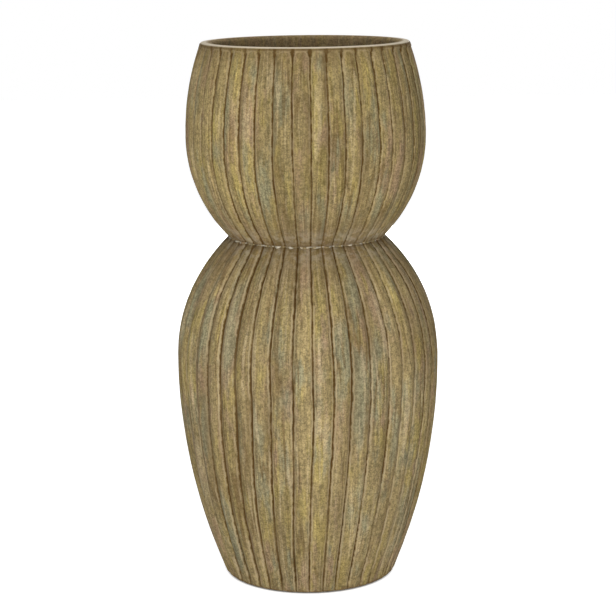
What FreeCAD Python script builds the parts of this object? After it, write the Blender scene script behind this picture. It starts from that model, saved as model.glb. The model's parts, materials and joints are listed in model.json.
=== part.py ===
"""Ribbed clay urn vase: a belly and a bowl luted together at a narrow waist.

Millimetres, +Z up. The origin is on the vase's axis, on the surface that it stands on.
The front that faces the viewer looks along -Y.
"""
import FreeCAD, Part
import math
import os

import Sketcher

# Driving dimensions: name, number and what it is.
DIMENSIONS = (
    ("belly_radius", 147.0, "outside of the belly where it is widest"),
    ("belly_lower", 250.0, "floor to the belly's widest place"),
    ("belly_upper", 136.0, "belly's widest place to the seam at the waist"),
    ("waist_radius", 87.5, "outside of the waist"),
    ("bowl_radius", 133.0, "outside of the bowl where it is widest"),
    ("bowl_lower", 111.0, "seam at the waist to the bowl's widest place"),
    ("bowl_upper", 103.0, "bowl's widest place to the top of the rim"),
    ("rim_draw_in", 18.5, "how far the rim is drawn in from the bowl's widest place"),
    ("foot_radius", 97.0, "outside of the foot"),
    ("foot_ring", 11.0, "width of the foot's ring"),
    ("foot_lift", 1.0, "foot ring's height above the floor"),
    ("foot_round", 5.0, "rounding at the foot's outer edge"),
    ("belly_wall", 17.0, "wall of the belly where it is widest"),
    ("wall", 13.0, "wall of the bowl where it is widest, and of the rim"),
    ("mouth_land", 14.0, "straight stretch inside the mouth"),
    ("lip_flat", 5.0, "level top of the rim, between its two roundings"),
    ("lip_band", 5.0, "smooth band that the grooves leave at the rim"),
    ("neck_wall", 16.5, "clay at the waist, from the bore to the outside"),
    ("neck_run", 2.5, "straight bore past the joint, above and below"),
    ("spigot_wall", 8.0, "wall of the belly's spigot"),
    ("spigot_rise", 4.0, "spigot's height above the seam"),
    ("slip_layer", 1.5, "slip that lutes two pieces together"),
    ("seam_recess", 0.6, "depth that the slip stays behind the outside"),
    ("rib_count", 42, "grooves around the vase"),
    ("groove_turn", 6.3, "turn of the first groove from the X axis, in degrees"),
    ("groove_width", 4.0, "groove's width at the surface"),
    ("groove_depth", 2.4, "depth of a groove"),
    ("base_thickness", 12.0, "base disc"),
    ("base_edge", 1.0, "chamfer around the base disc's underside"),
    ("base_ledge", 4.0, "shoulder in the belly that the base disc seats against"),
    ("coat_thickness", 1.0, "sealing coat, measured level"),
    ("coat_clearance", 0.2, "between the coat and the clay"),
    ("pad_radius", 15.0, "felt pad"),
    ("pad_thickness", 3.0, "felt pad"),
    ("pad_edge", 0.8, "rounding around a pad's underside"),
    ("pad_inset", 7.5, "base disc's edge to a pad's edge"),
    ("pad_count", 4, "felt pads"),
    ("overrun", 2.0, "how far a cutter runs past what it cuts"),
)

FULL_TURN = 360.0
HALF = 0.5
UPRIGHT = FreeCAD.Vector(0, 0, 1)
SAME_PLACE = 1e-6


class Size:
    """A size as its number now and as the formula that binds it to the sheet."""

    def __init__(self, number, formula):
        self.number = number
        self.formula = formula

    def joined(self, sign, other, number):
        return Size(number, "(%s %s %s)" % (self.formula, sign, formula_of(other)))

    def __add__(self, other):
        return self.joined("+", other, self.number + number_of(other))

    def __sub__(self, other):
        return self.joined("-", other, self.number - number_of(other))

    def __mul__(self, other):
        return self.joined("*", other, self.number * number_of(other))

    def __truediv__(self, other):
        return self.joined("/", other, self.number / number_of(other))


def number_of(value):
    return value.number if isinstance(value, Size) else value


def formula_of(value):
    return value.formula if isinstance(value, Size) else repr(value)


def angle_whose_sine(share):
    return Size(math.degrees(math.asin(share.number)), "asin(%s)" % share.formula)


def fill_sheet(document):
    """Writes the dimensions to the sheet and returns each as a Size."""
    sheet = document.addObject("Spreadsheet::Sheet", "sizes")
    for row, (name, number, note) in enumerate(DIMENSIONS, start=1):
        sheet.set("A%d" % row, name)
        sheet.set("B%d" % row, str(number))
        sheet.set("C%d" % row, note)
        sheet.setAlias("B%d" % row, name)
    document.recompute()
    return {name: Size(float(sheet.get(name)), "sizes.%s" % name) for name, number, note in DIMENSIONS}


def add_derived(size):
    """Adds the heights and radii that follow from the driving dimensions."""
    size["belly_height"] = size["belly_lower"]
    size["waist_height"] = size["belly_height"] + size["belly_upper"]
    size["bowl_height"] = size["waist_height"] + size["bowl_lower"]
    size["overall_height"] = size["bowl_height"] + size["bowl_upper"]
    size["rim_radius"] = size["bowl_radius"] - size["rim_draw_in"]
    size["mouth_radius"] = size["rim_radius"] - size["wall"]
    size["lip_round"] = (size["wall"] - size["lip_flat"]) * HALF
    size["neck_radius"] = size["waist_radius"] - size["neck_wall"]
    size["spigot_radius"] = size["neck_radius"] + size["spigot_wall"]
    size["spigot_top"] = size["waist_height"] + size["spigot_rise"]
    size["socket_radius"] = size["spigot_radius"] + size["slip_layer"]
    size["socket_top"] = size["spigot_top"] + size["slip_layer"]
    size["joint_low"] = size["waist_height"] - size["slip_layer"] * HALF
    size["joint_high"] = size["waist_height"] + size["slip_layer"] * HALF
    size["seat_radius"] = size["foot_radius"] - size["foot_ring"]
    size["base_radius"] = size["seat_radius"] - size["slip_layer"]
    size["floor_radius"] = size["seat_radius"] - size["base_ledge"]
    size["base_top"] = size["pad_thickness"] + size["base_thickness"]
    size["shoulder"] = size["base_top"] + size["slip_layer"]
    size["pad_circle"] = size["base_radius"] - size["pad_inset"] - size["pad_radius"]


def arc_radius(wide, end):
    """Radius of the arc that stands upright at its wide end and passes through the other."""
    reach = wide[0] - end[0]
    climb = wide[1] - end[1]
    return (reach * reach + climb * climb) / (reach * 2.0)


def new_body(document, label):
    body = document.addObject("PartDesign::Body", label)
    body.Label = label
    return body


def origin_feature(body, role):
    return next(item for item in body.Origin.OriginFeatures if item.Role == role)


def new_sketch(body, name, plane):
    sketch = body.newObject("Sketcher::SketchObject", name)
    sketch.AttachmentSupport = [(origin_feature(body, plane), "")]
    sketch.MapMode = "FlatFace"
    return sketch


def pin(sketch, item, end, across, up):
    """Ties one end of a line or arc to its place from the sketch's origin."""
    for kind, axis, place in (("DistanceX", -2, across), ("DistanceY", -1, up)):
        if number_of(place) == 0:
            sketch.addConstraint(Sketcher.Constraint("PointOnObject", item, end, axis))
            continue
        made = sketch.addConstraint(Sketcher.Constraint(kind, -1, 1, item, end, place.number))
        sketch.setExpression("Constraints[%d]" % made, place.formula)


def add_arc(sketch, first, last):
    """Adds an arc that stands upright at its wider end, and returns its two end numbers."""
    wide, end = (first, last) if first[0].number > last[0].number else (last, first)
    radius = arc_radius(wide, end).number
    centre = FreeCAD.Vector(wide[0].number - radius, wide[1].number, 0)
    turn = math.asin((end[1].number - wide[1].number) / radius)
    circle = Part.Circle(centre, UPRIGHT, radius)
    item = sketch.addGeometry(Part.ArcOfCircle(circle, min(turn, 0), max(turn, 0)))
    wide_end = 1 if turn > 0 else 2
    sketch.addConstraint(Sketcher.Constraint("Horizontal", item, wide_end, item, 3))
    return (wide_end, 3 - wide_end) if wide is first else (3 - wide_end, wide_end)


def add_line(sketch, first, last):
    start = FreeCAD.Vector(number_of(first[0]), number_of(first[1]), 0)
    stop = FreeCAD.Vector(number_of(last[0]), number_of(last[1]), 0)
    sketch.addGeometry(Part.LineSegment(start, stop))
    return 1, 2


def draw_outline(sketch, corners):
    """Closes an outline through corners, each (across, up, "line" or "arc" to the next)."""
    ends = []
    for corner, following in zip(corners, corners[1:] + corners[:1]):
        add = add_arc if corner[2] == "arc" else add_line
        ends.append(add(sketch, corner, following))
    for item, corner in enumerate(corners):
        before = (item - 1) % len(corners)
        meet = Sketcher.Constraint("Coincident", before, ends[before][1], item, ends[item][0])
        sketch.addConstraint(meet)
        pin(sketch, item, ends[item][0], corner[0], corner[1])


def revolve(body, name, corners):
    sketch = new_sketch(body, name + "_outline", "XZ_Plane")
    draw_outline(sketch, corners)
    turned = body.newObject("PartDesign::Revolution", name)
    turned.Profile = sketch
    turned.ReferenceAxis = (sketch, ["V_Axis"])
    turned.Angle = FULL_TURN
    body.Document.recompute()
    return turned


def ring_edge(feature, radius, height):
    """Name of the round edge about the axis that has this radius and height."""
    for number, edge in enumerate(feature.Shape.Edges, start=1):
        curve = edge.Curve
        if not isinstance(curve, Part.Circle):
            continue
        off = abs(curve.Radius - radius.number) + abs(curve.Center.z - number_of(height))
        if off < SAME_PLACE:
            return "Edge%d" % number
    raise ValueError("%s has no such edge" % feature.Name)


def dress(body, kind, name, base, edges, property_name, size):
    """Adds a fillet or chamfer to round edges, each given by its radius and height."""
    feature = body.newObject("PartDesign::" + kind, name)
    feature.Base = (base, [ring_edge(base, radius, height) for radius, height in edges])
    feature.setExpression(property_name, size.formula)
    body.Document.recompute()
    return feature


def new_cut(body, name, section, axis, angle, upward):
    before = body.Shape.Volume
    cut = body.newObject("PartDesign::Groove", name)
    cut.Profile = section
    cut.ReferenceAxis = (section, [axis])
    cut.setExpression("Angle", angle.formula)
    cut.Reversed = upward
    body.Document.recompute()
    if cut.Shape.Volume >= before:
        raise ValueError("%s cuts nothing" % name)
    return cut


def groove_section(body, size, widest, radii):
    """Draws a groove's V at the widest place, and the axis of each arc that it follows."""
    section = new_sketch(body, body.Label + "_groove_section", "XY_Plane")
    turn = FreeCAD.Rotation(UPRIGHT, size["groove_turn"].number)
    section.AttachmentOffset = FreeCAD.Placement(UPRIGHT * widest[1].number, turn)
    section.setExpression("AttachmentOffset.Base.z", widest[1].formula)
    section.setExpression("AttachmentOffset.Rotation.Angle", size["groove_turn"].formula)
    spread = size["groove_width"] * HALF / size["groove_depth"]
    half_width = (size["groove_depth"] + size["overrun"]) * spread
    outer = widest[0] + size["overrun"]
    draw_outline(section, [
        (outer, half_width, "line"),
        (outer, half_width * -1.0, "line"),
        (widest[0] - size["groove_depth"], 0, "line"),
    ])
    for radius in radii:
        centre = widest[0] - radius
        item = section.GeometryCount
        add_line(section, (centre, half_width * -1.0), (centre, half_width))
        section.setConstruction(item, True)
        pin(section, item, 1, centre, half_width * -1.0)
        pin(section, item, 2, centre, half_width)
    return section


def cut_ribs(body, size, low_end, widest, high_end, low_stop, high_stop):
    """Cuts the upright grooves, along the arcs below and above the widest place."""
    low_radius = arc_radius(widest, low_end)
    high_radius = arc_radius(widest, high_end)
    section = groove_section(body, size, widest, (low_radius, high_radius))
    low_angle = angle_whose_sine((widest[1] - low_stop) / low_radius)
    high_angle = angle_whose_sine((high_stop - widest[1]) / high_radius)
    low = new_cut(body, body.Label + "_low_groove", section, "Axis0", low_angle, False)
    high = new_cut(body, body.Label + "_high_groove", section, "Axis1", high_angle, True)
    ribs = body.newObject("PartDesign::PolarPattern", body.Label + "_ribs")
    ribs.Originals = [low, high]
    ribs.Axis = (origin_feature(body, "Z_Axis"), [""])
    ribs.Angle = FULL_TURN
    ribs.setExpression("Occurrences", size["rib_count"].formula)
    body.Tip = ribs
    body.Document.recompute()


def inside_points(size, inset):
    """Places on the clay's inner face, moved towards the axis by the inset."""
    return {
        "floor": (size["floor_radius"] - inset, size["shoulder"]),
        "belly": (size["belly_radius"] - size["belly_wall"] - inset, size["belly_height"]),
        "neck_low": (size["neck_radius"] - inset, size["joint_low"] - size["neck_run"]),
        "neck_high": (size["neck_radius"] - inset, size["socket_top"] + size["neck_run"]),
        "bowl": (size["bowl_radius"] - size["wall"] - inset, size["bowl_height"]),
        "mouth": (size["mouth_radius"] - inset, size["overall_height"] - size["mouth_land"]),
    }


def make_belly_shell(document, size):
    """The lower, ribbed shell, from the foot ring to the spigot at the waist."""
    body = new_body(document, "belly_shell")
    inside = inside_points(size, 0)
    foot = (size["foot_radius"], size["foot_lift"])
    widest = (size["belly_radius"], size["belly_height"])
    waist = (size["waist_radius"], size["joint_low"])
    shell = revolve(body, "belly_wall", [
        (size["seat_radius"], size["foot_lift"], "line"),
        foot + ("arc",),
        widest + ("arc",),
        waist + ("line",),
        (size["spigot_radius"], size["joint_low"], "line"),
        (size["spigot_radius"], size["spigot_top"], "line"),
        (size["neck_radius"], size["spigot_top"], "line"),
        inside["neck_low"] + ("arc",),
        inside["belly"] + ("arc",),
        inside["floor"] + ("line",),
        (size["seat_radius"], size["shoulder"], "line"),
    ])
    dress(body, "Fillet", "foot_rounding", shell, [foot], "Radius", size["foot_round"])
    below_foot = size["foot_lift"] - size["overrun"]
    cut_ribs(body, size, foot, widest, waist, below_foot, size["joint_low"])
    return body


def make_bowl_shell(document, size):
    """The upper, ribbed shell, from the waist to the smooth band of the rim."""
    body = new_body(document, "bowl_shell")
    inside = inside_points(size, 0)
    waist = (size["waist_radius"], size["joint_high"])
    widest = (size["bowl_radius"], size["bowl_height"])
    rim = (size["rim_radius"], size["overall_height"])
    mouth = (size["mouth_radius"], size["overall_height"])
    shell = revolve(body, "bowl_wall", [
        (size["socket_radius"], size["joint_high"], "line"),
        waist + ("arc",),
        widest + ("arc",),
        rim + ("line",),
        mouth + ("line",),
        inside["mouth"] + ("arc",),
        inside["bowl"] + ("arc",),
        inside["neck_high"] + ("line",),
        (size["neck_radius"], size["socket_top"], "line"),
        (size["socket_radius"], size["socket_top"], "line"),
    ])
    dress(body, "Fillet", "lip_rounding", shell, [rim, mouth], "Radius", size["lip_round"])
    below_rim = size["overall_height"] - size["lip_band"]
    cut_ribs(body, size, waist, widest, rim, size["joint_high"], below_rim)
    return body


def make_waist_joint(document, size):
    """The slip that lutes the bowl onto the belly's flat and spigot."""
    body = new_body(document, "waist_joint")
    outside = size["waist_radius"] - size["seam_recess"]
    revolve(body, "waist_slip", [
        (size["spigot_radius"], size["joint_low"], "line"),
        (outside, size["joint_low"], "line"),
        (outside, size["joint_high"], "line"),
        (size["socket_radius"], size["joint_high"], "line"),
        (size["socket_radius"], size["socket_top"], "line"),
        (size["neck_radius"], size["socket_top"], "line"),
        (size["neck_radius"], size["spigot_top"], "line"),
        (size["spigot_radius"], size["spigot_top"], "line"),
    ])
    return body


def add_circle(sketch, radius):
    """Adds a circle about the sketch's origin."""
    item = sketch.addGeometry(Part.Circle(FreeCAD.Vector(), UPRIGHT, radius.number))
    sketch.addConstraint(Sketcher.Constraint("Coincident", item, 3, -1, 1))
    made = sketch.addConstraint(Sketcher.Constraint("Radius", item, radius.number))
    sketch.setExpression("Constraints[%d]" % made, radius.formula)


def make_base_disc(document, size):
    """The floor of the vase, a slab set up into the foot from below."""
    body = new_body(document, "base_disc")
    outline = new_sketch(body, "base_outline", "XY_Plane")
    outline.setExpression("AttachmentOffset.Base.z", size["pad_thickness"].formula)
    add_circle(outline, size["base_radius"])
    slab = body.newObject("PartDesign::Pad", "base_slab")
    slab.Profile = outline
    slab.setExpression("Length", size["base_thickness"].formula)
    document.recompute()
    edge = (size["base_radius"], size["pad_thickness"])
    dress(body, "Chamfer", "base_chamfer", slab, [edge], "Size", size["base_edge"])
    return body


def make_base_joint(document, size):
    """The slip around and over the base disc's edge."""
    body = new_body(document, "base_joint")
    slip_low = size["pad_thickness"] + size["base_edge"]
    revolve(body, "base_slip", [
        (size["base_radius"], slip_low, "line"),
        (size["seat_radius"], slip_low, "line"),
        (size["seat_radius"], size["shoulder"], "line"),
        (size["floor_radius"], size["shoulder"], "line"),
        (size["floor_radius"], size["base_top"], "line"),
        (size["base_radius"], size["base_top"], "line"),
    ])
    return body


def make_waterproof_lining(document, size):
    """The sealing coat inside, from the floor up to the mouth's straight stretch."""
    body = new_body(document, "waterproof_lining")
    outside = inside_points(size, size["coat_clearance"])
    inside = inside_points(size, size["coat_clearance"] + size["coat_thickness"])
    under = size["base_top"] + size["coat_clearance"]
    over = under + size["coat_thickness"]
    revolve(body, "coat", [
        (0, under, "line"),
        (outside["floor"][0], under, "line"),
        outside["floor"] + ("arc",),
        outside["belly"] + ("arc",),
        outside["neck_low"] + ("line",),
        outside["neck_high"] + ("arc",),
        outside["bowl"] + ("arc",),
        outside["mouth"] + ("line",),
        inside["mouth"] + ("arc",),
        inside["bowl"] + ("arc",),
        inside["neck_high"] + ("line",),
        inside["neck_low"] + ("arc",),
        inside["belly"] + ("arc",),
        inside["floor"] + ("line",),
        (inside["floor"][0], over, "line"),
        (0, over, "line"),
    ])
    return body


def make_felt_pad(document, size, number):
    """One of the felt pads that stand on the floor, stuck under the base disc."""
    body = new_body(document, "felt_pad_%d" % number)
    outline = new_sketch(body, body.Label + "_outline", "XY_Plane")
    add_circle(outline, size["pad_radius"])
    felt = body.newObject("PartDesign::Pad", body.Label + "_felt")
    felt.Profile = outline
    felt.setExpression("Length", size["pad_thickness"].formula)
    document.recompute()
    edge = (size["pad_radius"], 0)
    dress(body, "Fillet", body.Label + "_edge", felt, [edge], "Radius", size["pad_edge"])
    turn = "%s * %sdeg / %s" % (number - HALF, FULL_TURN, size["pad_count"].formula)
    circle = size["pad_circle"].formula
    body.setExpression("Placement.Base.x", "%s * cos(%s)" % (circle, turn))
    body.setExpression("Placement.Base.y", "%s * sin(%s)" % (circle, turn))
    return body


def faults(document, bodies):
    """Names what failed to build."""
    found = ["%s is %s" % (item.Name, item.State) for item in document.Objects
             if "Invalid" in item.State or "Error" in item.State]
    for body in bodies:
        if body.Shape.isNull() or not body.Shape.isValid() or len(body.Shape.Solids) != 1:
            found.append("%s has no single valid solid" % body.Label)
    return found


def main():
    document = FreeCAD.newDocument("urn_vase")
    size = fill_sheet(document)
    add_derived(size)
    bodies = [
        make_belly_shell(document, size),
        make_bowl_shell(document, size),
        make_waist_joint(document, size),
        make_base_disc(document, size),
        make_base_joint(document, size),
        make_waterproof_lining(document, size),
    ]
    for number in range(1, int(size["pad_count"].number) + 1):
        bodies.append(make_felt_pad(document, size, number))
    document.recompute()
    found = faults(document, bodies)
    if found:
        raise RuntimeError("; ".join(found))
    os.makedirs("parts", exist_ok=True)
    for body in bodies:
        body.Shape.exportStep("parts/%s.step" % body.Label)
        print("%-18s %9.0f mm3" % (body.Label, body.Shape.Volume))


main()
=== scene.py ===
"""Looks of the ribbed clay urn vase: carved shells, streaky wash, seam slip and studio."""

import json
import math

import bpy
import numpy as np
from bpy.props import FloatProperty, FloatVectorProperty, IntProperty, PointerProperty
from mathutils import Euler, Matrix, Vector


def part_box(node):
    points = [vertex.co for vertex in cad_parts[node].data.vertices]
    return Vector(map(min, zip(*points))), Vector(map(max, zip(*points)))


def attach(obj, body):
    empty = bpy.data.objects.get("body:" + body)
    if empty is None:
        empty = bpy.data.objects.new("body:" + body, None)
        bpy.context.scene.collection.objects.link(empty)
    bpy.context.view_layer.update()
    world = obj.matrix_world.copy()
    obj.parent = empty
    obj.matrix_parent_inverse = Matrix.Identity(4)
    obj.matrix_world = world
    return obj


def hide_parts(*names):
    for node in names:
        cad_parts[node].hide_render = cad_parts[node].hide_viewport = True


bl_info = {
    "name": "Ribbed Clay Urn Vase",
    "version": (1, 0, 0),
    "blender": (4, 5, 0),
    "location": "View3D > Sidebar > Vase",
    "description": "Builds a hand-carved clay vase with a belly, a waist and a bowl",
    "category": "Add Mesh",
}

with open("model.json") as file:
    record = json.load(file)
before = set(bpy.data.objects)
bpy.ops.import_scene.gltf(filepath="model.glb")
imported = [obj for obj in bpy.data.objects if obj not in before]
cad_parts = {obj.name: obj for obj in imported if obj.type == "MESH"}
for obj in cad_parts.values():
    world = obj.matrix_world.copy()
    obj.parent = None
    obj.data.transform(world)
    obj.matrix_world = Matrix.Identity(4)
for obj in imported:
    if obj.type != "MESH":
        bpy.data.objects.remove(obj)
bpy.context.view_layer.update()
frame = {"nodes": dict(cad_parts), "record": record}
MM = 0.001
FULL_TURN = 2.0 * math.pi
FRONT_TURN = 1.5 * math.pi


def node_box(node):
    """Half width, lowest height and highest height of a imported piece."""
    low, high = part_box(node)
    return (high.x - low.x) / 2.0, low.z, high.z


BELLY_RADIUS, FOOT_LIFT, SPIGOT_TOP = node_box("belly_shell")
BOWL_RADIUS, JOINT_HIGH, RIM_HEIGHT = node_box("bowl_shell")
SEAM_RADIUS, JOINT_LOW, SOCKET_TOP = node_box("waist_joint")
SEAT_RADIUS, _, SHOULDER = node_box("base_joint")


# Settings that a user would change

class VaseShape(bpy.types.PropertyGroup):
    """Sizes of the shells and of their carving."""

    belly_height: FloatProperty(
        name="Belly Height", description="Height of the belly's widest place",
        default=250 * MM, unit="LENGTH")
    waist_radius: FloatProperty(
        name="Waist Radius", description="Outside of the waist", default=87.5 * MM, unit="LENGTH")
    bowl_height: FloatProperty(
        name="Bowl Height", description="Height of the bowl's widest place",
        default=497 * MM, unit="LENGTH")
    rim_radius: FloatProperty(
        name="Rim Radius", description="Outside of the rim", default=114.5 * MM, unit="LENGTH")
    foot_radius: FloatProperty(
        name="Foot Radius", description="Outside of the foot", default=97 * MM, unit="LENGTH")
    foot_round: FloatProperty(
        name="Foot Rounding", description="Rounding at the foot's outer edge",
        default=5 * MM, unit="LENGTH")
    belly_wall: FloatProperty(
        name="Belly Wall", description="Wall of the belly at its widest place",
        default=17 * MM, unit="LENGTH")
    wall: FloatProperty(
        name="Bowl Wall", description="Wall of the bowl at its widest place, and of the rim",
        default=13 * MM, unit="LENGTH")
    lip_round: FloatProperty(
        name="Lip Rounding", description="Rounding at the rim's edges",
        default=4 * MM, unit="LENGTH")
    mouth_land: FloatProperty(
        name="Mouth Land", description="Straight stretch inside the mouth",
        default=14 * MM, unit="LENGTH")
    neck_radius: FloatProperty(
        name="Neck Radius", description="Bore through the waist", default=71 * MM, unit="LENGTH")
    neck_run: FloatProperty(
        name="Neck Run", description="Straight bore past the joint",
        default=2.5 * MM, unit="LENGTH")
    spigot_radius: FloatProperty(
        name="Spigot Radius", description="Outside of the belly's spigot",
        default=79 * MM, unit="LENGTH")
    floor_radius: FloatProperty(
        name="Floor Radius", description="Inside of the belly at its shoulder",
        default=82 * MM, unit="LENGTH")
    groove_count: IntProperty(
        name="Grooves", description="Upright grooves around the vase", default=42, min=3)
    groove_turn: FloatProperty(
        name="Groove Turn", description="Turn of the first groove from the X axis",
        default=math.radians(6.3), subtype="ANGLE")
    groove_depth: FloatProperty(
        name="Groove Depth", description="Depth of a groove", default=2.1 * MM, unit="LENGTH")
    groove_reach: FloatProperty(
        name="Groove Reach", description="How far a groove's side runs out",
        default=1.1 * MM, unit="LENGTH")
    # Reach of the dark wash beside a groove, which is partly painted shade of the rib's flank
    flank_reach: FloatProperty(
        name="Flank Reach", description="How far dark wash lies beside a groove",
        default=7.0 * MM, unit="LENGTH")
    # Painted shade: how far the groove's dark line climbs the groove's far wall at the sides
    far_wall_shade: FloatProperty(
        name="Far Wash", description="How far the wash climbs the wall of a groove at the side",
        default=0.75 * MM, unit="LENGTH")
    rib_crown: FloatProperty(
        name="Rib Crown", description="How much a rib's middle stands over its edges",
        default=3.2 * MM, unit="LENGTH")
    bowl_flatness: FloatProperty(
        name="Bowl Flatness", description="How much flatter the bowl's ribs are than the belly's",
        default=0.5, subtype="FACTOR")
    rib_step: FloatProperty(
        name="Rib Step", description="How much one rib may lie lower than another",
        default=0.4 * MM, unit="LENGTH")
    foot_lean: FloatProperty(
        name="Foot Lean", description="Turn of the grooves' lower ends",
        default=math.radians(-2.6), subtype="ANGLE")
    lip_band: FloatProperty(
        name="Lip Band", description="Smooth band that the ribs leave at the rim",
        default=3.3 * MM, unit="LENGTH")
    rib_arch: FloatProperty(
        name="Rib Arch", description="Height of the arch at a rib's top",
        default=3.2 * MM, unit="LENGTH")
    calm_end: FloatProperty(
        name="Calm End", description="Reach of the shallower carving at the foot and the waist",
        default=14 * MM, unit="LENGTH")
    slip_recess: FloatProperty(
        name="Slip Recess", description="How far the slip stays behind the ribs",
        default=0.4 * MM, unit="LENGTH")
    slip_drop: FloatProperty(
        name="Slip Drop", description="How far squeezed slip runs down over the belly",
        default=0.9 * MM, unit="LENGTH")
    seed: IntProperty(name="Seed", description="Choice of the hand's unevenness", default=7)


class VaseColours(bpy.types.PropertyGroup):
    """Colours of the wash, the grooves, the slip and the felt."""

    ochre: FloatVectorProperty(
        name="Ochre", description="Yellow patches of the wash", subtype="COLOR",
        default=(0.372, 0.288, 0.103))
    olive: FloatVectorProperty(
        name="Olive", description="Main tone of the wash", subtype="COLOR",
        default=(0.323, 0.246, 0.114))
    grey_green: FloatVectorProperty(
        name="Grey Green", description="Cool patches of the wash", subtype="COLOR",
        default=(0.278, 0.25, 0.145))
    rose_brown: FloatVectorProperty(
        name="Rose Brown", description="Warm patches of the wash", subtype="COLOR",
        default=(0.352, 0.246, 0.142))
    # Umber also paints shade: beside the grooves, at the waist and at the foot
    umber: FloatVectorProperty(
        name="Umber", description="Dark streaks of the wash", subtype="COLOR",
        default=(0.17, 0.11, 0.045))
    sand: FloatVectorProperty(
        name="Sand", description="Rubbed edges of the ribs", subtype="COLOR",
        default=(0.58, 0.46, 0.27))
    # Groove brown also paints shade: on the grooves' far walls at the sides, in the crease at the
    # seam and under the lip
    groove_brown: FloatVectorProperty(
        name="Groove Brown", description="Dark wash left in the grooves", subtype="COLOR",
        default=(0.105, 0.058, 0.015))
    bowl_tint: FloatVectorProperty(
        name="Bowl Tint", description="How the bowl took the wash compared with the belly",
        subtype="COLOR", default=(0.90, 0.895, 0.845))
    rim_pale: FloatVectorProperty(
        name="Rim Pale", description="Bare clay at the rim", subtype="COLOR",
        default=(0.96, 0.84, 0.64))
    # The wash inside the mouth is lightened with this brown: painted light where little light
    # reaches
    inside_lit_brown: FloatVectorProperty(
        name="Inside Brown", description="Wash inside the mouth", subtype="COLOR",
        default=(0.46, 0.315, 0.16))
    slip: FloatVectorProperty(
        name="Slip", description="Dried slip in the seam", subtype="COLOR",
        default=(0.50, 0.45, 0.34))
    coat: FloatVectorProperty(
        name="Coat", description="Sealing coat inside", subtype="COLOR",
        default=(0.06, 0.05, 0.025))
    felt: FloatVectorProperty(
        name="Felt", description="Felt pads", subtype="COLOR", default=(0.05, 0.035, 0.022))


class VaseStudio(bpy.types.PropertyGroup):
    """Camera and light."""

    camera_distance: FloatProperty(
        name="Camera Distance", description="From the vase's axis to the camera",
        default=2.0942, unit="LENGTH")
    camera_side: FloatProperty(
        name="Camera Side", description="Of the camera to the right of the vase's axis",
        default=0.6 * MM, unit="LENGTH")
    camera_height: FloatProperty(
        name="Camera Height", description="Of the camera over the floor",
        default=0.7258, unit="LENGTH")
    camera_pitch: FloatProperty(
        name="Camera Pitch", description="How far the camera looks down",
        default=math.radians(11.427), subtype="ANGLE")
    camera_roll: FloatProperty(
        name="Camera Roll", description="Turn of the picture",
        default=math.radians(-0.565), subtype="ANGLE")
    lens: FloatProperty(
        name="Lens", description="Focal length in millimetres", default=111.25, unit="CAMERA")
    key_power: FloatProperty(
        name="Key Light", description="Power of the main lamp", default=36.8, unit="POWER")
    top_power: FloatProperty(
        name="Top Light", description="Power of the lamp above", default=5.0, unit="POWER")
    back_power: FloatProperty(
        name="Back Light", description="Power of the lamp behind the vase",
        default=24.0, unit="POWER")
    world_strength: FloatProperty(
        name="Surround", description="Strength of the surrounding light", default=0.225)
    floor_glow: FloatProperty(
        name="Floor Glow", description="What lifts the floor to white in the picture", default=0.78)


# Smooth unevenness

def eased(share):
    """A share from 0 to 1 that starts and ends softly."""
    return share * share * (3.0 - 2.0 * share)


def soft_noise(across, up, cells_across, cells_up, seed):
    """Smooth noise from 0 to 1 that closes on itself across (0 to 1) and runs on upwards."""
    lattice = np.random.RandomState(seed).rand(cells_up + 2, cells_across)
    x = np.mod(across, 1.0) * cells_across
    y = np.clip(up, 0.0, 1.0) * cells_up
    left = np.floor(x).astype(int)
    under = np.floor(y).astype(int)
    share_x = eased(x - left)
    share_y = eased(y - under)
    left %= cells_across
    right = (left + 1) % cells_across
    low = lattice[under, left] * (1 - share_x) + lattice[under, right] * share_x
    high = lattice[under + 1, left] * (1 - share_x) + lattice[under + 1, right] * share_x
    return low * (1 - share_y) + high * share_y


def soft_step(value, low, high):
    return eased(np.clip((value - low) / (high - low), 0.0, 1.0))


# Outlines of the shells, as rows of (radius, height)

def arc_radius(wide, end):
    reach = wide[0] - end[0]
    climb = wide[1] - end[1]
    return (reach * reach + climb * climb) / (2.0 * reach)


def arc_rows(wide, end, step):
    """Rows from the wide end, where the arc stands upright, to the other end."""
    radius = arc_radius(wide, end)
    turn = math.asin((end[1] - wide[1]) / radius)
    count = max(2, round(abs(turn) * radius / step))
    turns = np.linspace(0.0, turn, count + 1)
    across = wide[0] - radius + radius * np.cos(turns)
    return np.stack([across, wide[1] + radius * np.sin(turns)], 1)


def lean_at_end(wide, end):
    return math.asin(abs(end[1] - wide[1]) / arc_radius(wide, end))


def corner_rows(corner, lean, rounding, side, count):
    """Rows of a rounding between a level face and a leaning wall; side is 1 on top."""
    across = corner[0] + rounding * (math.tan(lean) - 1.0 / math.cos(lean))
    up = corner[1] - side * rounding
    turns = np.linspace(lean, math.pi / 2.0, count)
    return np.stack([across + rounding * np.cos(turns), up + side * rounding * np.sin(turns)], 1)


def steps_between(first, last, count):
    """Rows on a straight stretch, without its two ends."""
    shares = np.linspace(0.0, 1.0, count + 2)[1:-1, None]
    return np.array(first) * (1 - shares) + np.array(last) * shares


# Distance between rows outside, near the rim and inside, and rows of the short stretches
OUTER_STEP = 3.2 * MM
FINE_STEP = 1.0 * MM
INNER_STEP = 12 * MM
FOOT_ROWS = 5
LIP_ROWS = 7
RIM_ROWS = 1
LAND_ROWS = 3


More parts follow.
